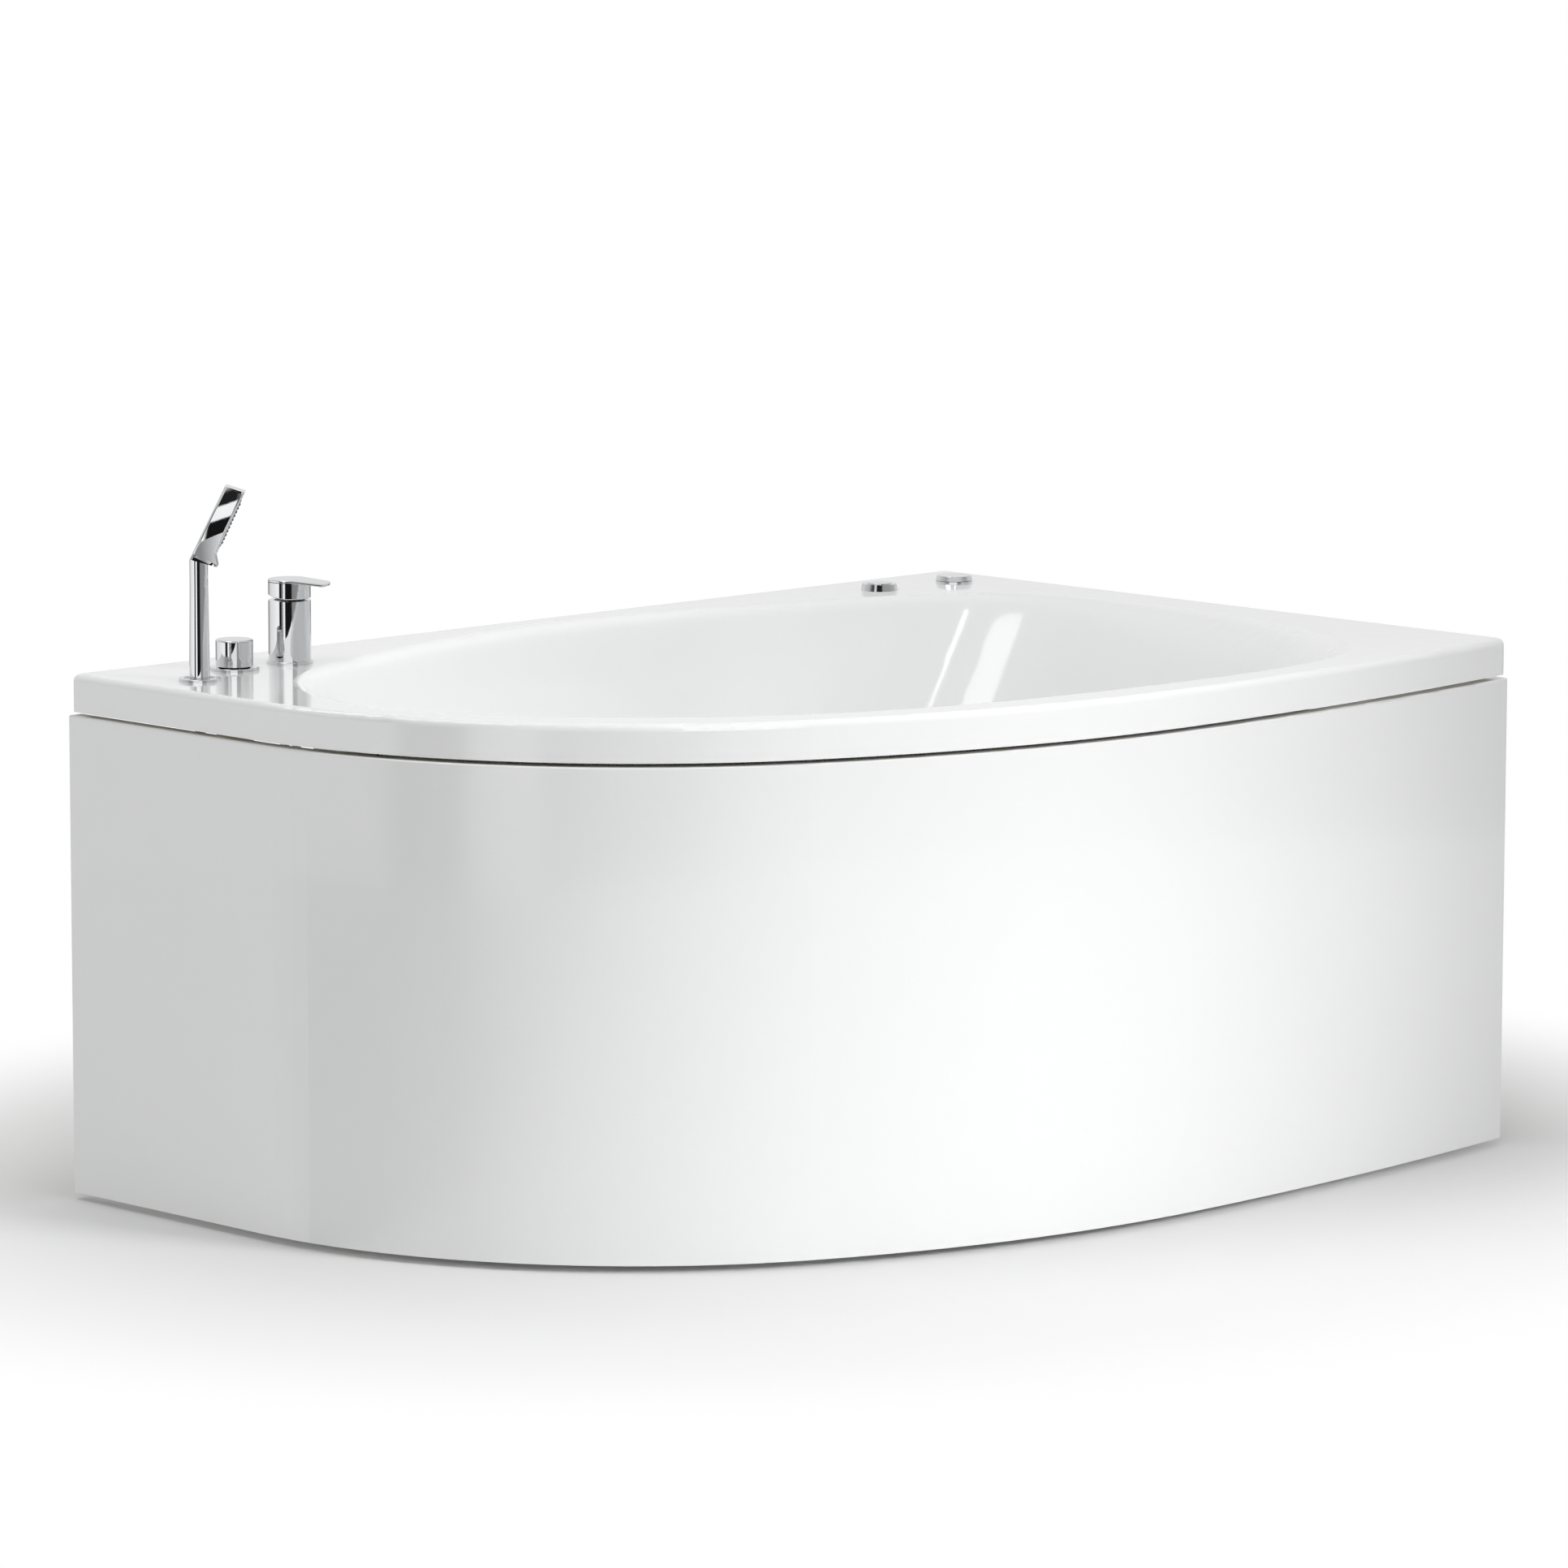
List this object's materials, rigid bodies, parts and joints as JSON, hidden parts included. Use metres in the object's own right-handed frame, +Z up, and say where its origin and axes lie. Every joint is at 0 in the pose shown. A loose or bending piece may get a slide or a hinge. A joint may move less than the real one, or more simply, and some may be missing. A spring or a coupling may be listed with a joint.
{
  "type": "corner bathtub",
  "caption": "Corner bathtub with a curved front panel, deck-mounted mixer, diverter and hand shower, pop-up waste and an air massage system on a levelled steel frame.",
  "frame": {"origin": "centre of the footprint's bounding rectangle, on the floor", "axes": "+Z up, long wall side along X at +Y, short wall side along Y at +X, curved panel faces -Y"},
  "size_m": [1.4, 0.951, 0.8144],
  "materials": {
    "acrylic": "white moulded acrylic, high gloss",
    "panel": "white sheet, high gloss",
    "batten": "plain white plastic",
    "chrome": "polished chrome",
    "galvanised": "galvanised steel tube",
    "zinc": "zinc-plated steel",
    "magnet": "magnet in a dark case",
    "board": "chipboard",
    "brass": "raw brass",
    "seal": "black rubber",
    "braid": "braided steel hose",
    "grey_hose": "grey flexible hose",
    "clear_tube": "thin clear air tube",
    "drain_plastic": "white waste fittings",
    "cartridge": "dark plastic",
    "spring_steel": "spring steel",
    "bush": "grey plastic liner",
    "nozzle": "grey nozzle plate",
    "blower": "dark grey casing",
    "motor": "motor can",
    "impeller": "dark moulded impeller"
  },
  "bodies": {
    "bath": {"tub_shell": "acrylic", "base_board": "board", "frame_long_rails": "galvanised", "frame_cross_rails": "galvanised", "panel_posts": "galvanised", "panel_magnets": "magnet", "foot_nuts": "zinc", "board_screws": "zinc", "wall_brackets": "galvanised", "mixer_base_ring": "chrome", "mixer_body": "chrome", "mixer_cartridge": "cartridge", "mixer_shank": "brass", "deck_nuts": "brass", "deck_washers": "seal", "mixed_water_pipe": "brass", "supply_hoses": "braid", "supply_nuts": "brass", "diverter_flange": "chrome", "diverter_valve": "brass", "shower_holder": "chrome", "shower_hose": "braid", "filler_hose": "grey_hose", "button_bezel": "chrome", "button_spring": "spring_steel", "regulator_base": "chrome", "pneumatic_tube": "clear_tube", "regulator_hose": "grey_hose", "overflow_base": "chrome", "basin_gaskets": "seal", "overflow_body": "drain_plastic", "overflow_pipe": "drain_plastic", "plug_cable": "seal", "waste_flange": "chrome", "waste_body": "drain_plastic", "drain_trap": "drain_plastic", "air_jets": "chrome", "air_manifold": "drain_plastic", "blower_housing": "blower", "blower_motor": "motor"},
    "mixer_carrier": {"mixer_carrier": "cartridge"},
    "mixer_lever": {"mixer_spindle": "brass", "mixer_lever": "chrome"},
    "diverter_knob": {"diverter_knob": "chrome"},
    "shower_bush": {"shower_bush": "bush"},
    "hand_shower": {"shower_handle": "chrome", "shower_head": "chrome", "shower_face": "nozzle"},
    "massage_button": {"massage_button": "chrome"},
    "regulator_knob": {"regulator_knob": "chrome"},
    "overflow_knob": {"overflow_knob": "chrome"},
    "waste_plug": {"waste_plug": "chrome"},
    "front_panel": {"front_panel": "panel", "panel_battens": "batten", "panel_strikes": "zinc"},
    "blower_impeller": {"blower_impeller": "impeller"},
    "levelling_foot_1": {"levelling_foot_1": "zinc"},
    "levelling_foot_2": {"levelling_foot_2": "zinc"},
    "levelling_foot_3": {"levelling_foot_3": "zinc"},
    "levelling_foot_4": {"levelling_foot_4": "zinc"}
  },
  "joints": [
    {"name": "mixer_turn", "type": "hinge", "parent": "bath", "child": "mixer_carrier", "pos_m": [-0.461, 0.375, 0.6685], "axis": [0, 0, 1], "range_deg": [-45, 45]},
    {"name": "mixer_tilt", "type": "hinge", "parent": "mixer_carrier", "child": "mixer_lever", "pos_m": [-0.461, 0.375, 0.6625], "axis": [-0.8241, -0.5664, 0], "range_deg": [0, 12]},
    {"name": "diverter_turn", "type": "hinge", "parent": "bath", "child": "diverter_knob", "pos_m": [-0.543, 0.375, 0.5965], "axis": [0, 0, 1], "range_deg": [0, 90]},
    {"name": "shower_turn", "type": "hinge", "parent": "bath", "child": "shower_bush", "pos_m": [-0.631, 0.3315, 0.5965], "axis": [0, 0, 1], "range_deg": [-90, 90]},
    {"name": "shower_lift", "type": "slide", "parent": "shower_bush", "child": "hand_shower", "axis": [0, 0, 1], "range_m": [0, 0.12], "deforming": ["shower_hose"]},
    {"name": "button_press", "type": "slide", "parent": "bath", "child": "massage_button", "axis": [0, 0, -1], "range_m": [0, 0.004], "stiffness_N_per_m": 600, "springref_m": -0.002, "deforming": ["button_spring"]},
    {"name": "regulator_turn", "type": "hinge", "parent": "bath", "child": "regulator_knob", "pos_m": [0.624, 0.3855, 0.5965], "axis": [0, 0, 1], "range_deg": [0, 270]},
    {"name": "overflow_turn", "type": "hinge", "parent": "bath", "child": "overflow_knob", "pos_m": [-0.60518, 0.0715, 0.5215], "axis": [0.9785, 0, 0.2064], "range_deg": [0, 90]},
    {"name": "plug_lift", "type": "slide", "parent": "bath", "child": "waste_plug", "axis": [0, 0, 1], "range_m": [0, 0.01]},
    {"name": "foot_1_level", "type": "slide", "parent": "bath", "child": "levelling_foot_1", "axis": [0, 0, 1], "range_m": [-0.012, 0.02]},
    {"name": "foot_2_level", "type": "slide", "parent": "bath", "child": "levelling_foot_2", "axis": [0, 0, 1], "range_m": [-0.012, 0.02]},
    {"name": "foot_3_level", "type": "slide", "parent": "bath", "child": "levelling_foot_3", "axis": [0, 0, 1], "range_m": [-0.012, 0.02]},
    {"name": "foot_4_level", "type": "slide", "parent": "bath", "child": "levelling_foot_4", "axis": [0, 0, 1], "range_m": [-0.012, 0.02]},
    {"name": "panel_pull", "type": "slide", "parent": "bath", "child": "front_panel", "axis": [0, -1, 0], "range_m": [0, 0.25]},
    {"name": "impeller_spin", "type": "hinge", "parent": "bath", "child": "blower_impeller", "pos_m": [0.52, 0.008, 0.166], "axis": [0, 0, 1], "continuous": true}
  ],
  "couplings": [
    {"joint": "plug_lift", "follows": "overflow_turn", "m_per_rad": 0.0063662}
  ]
}
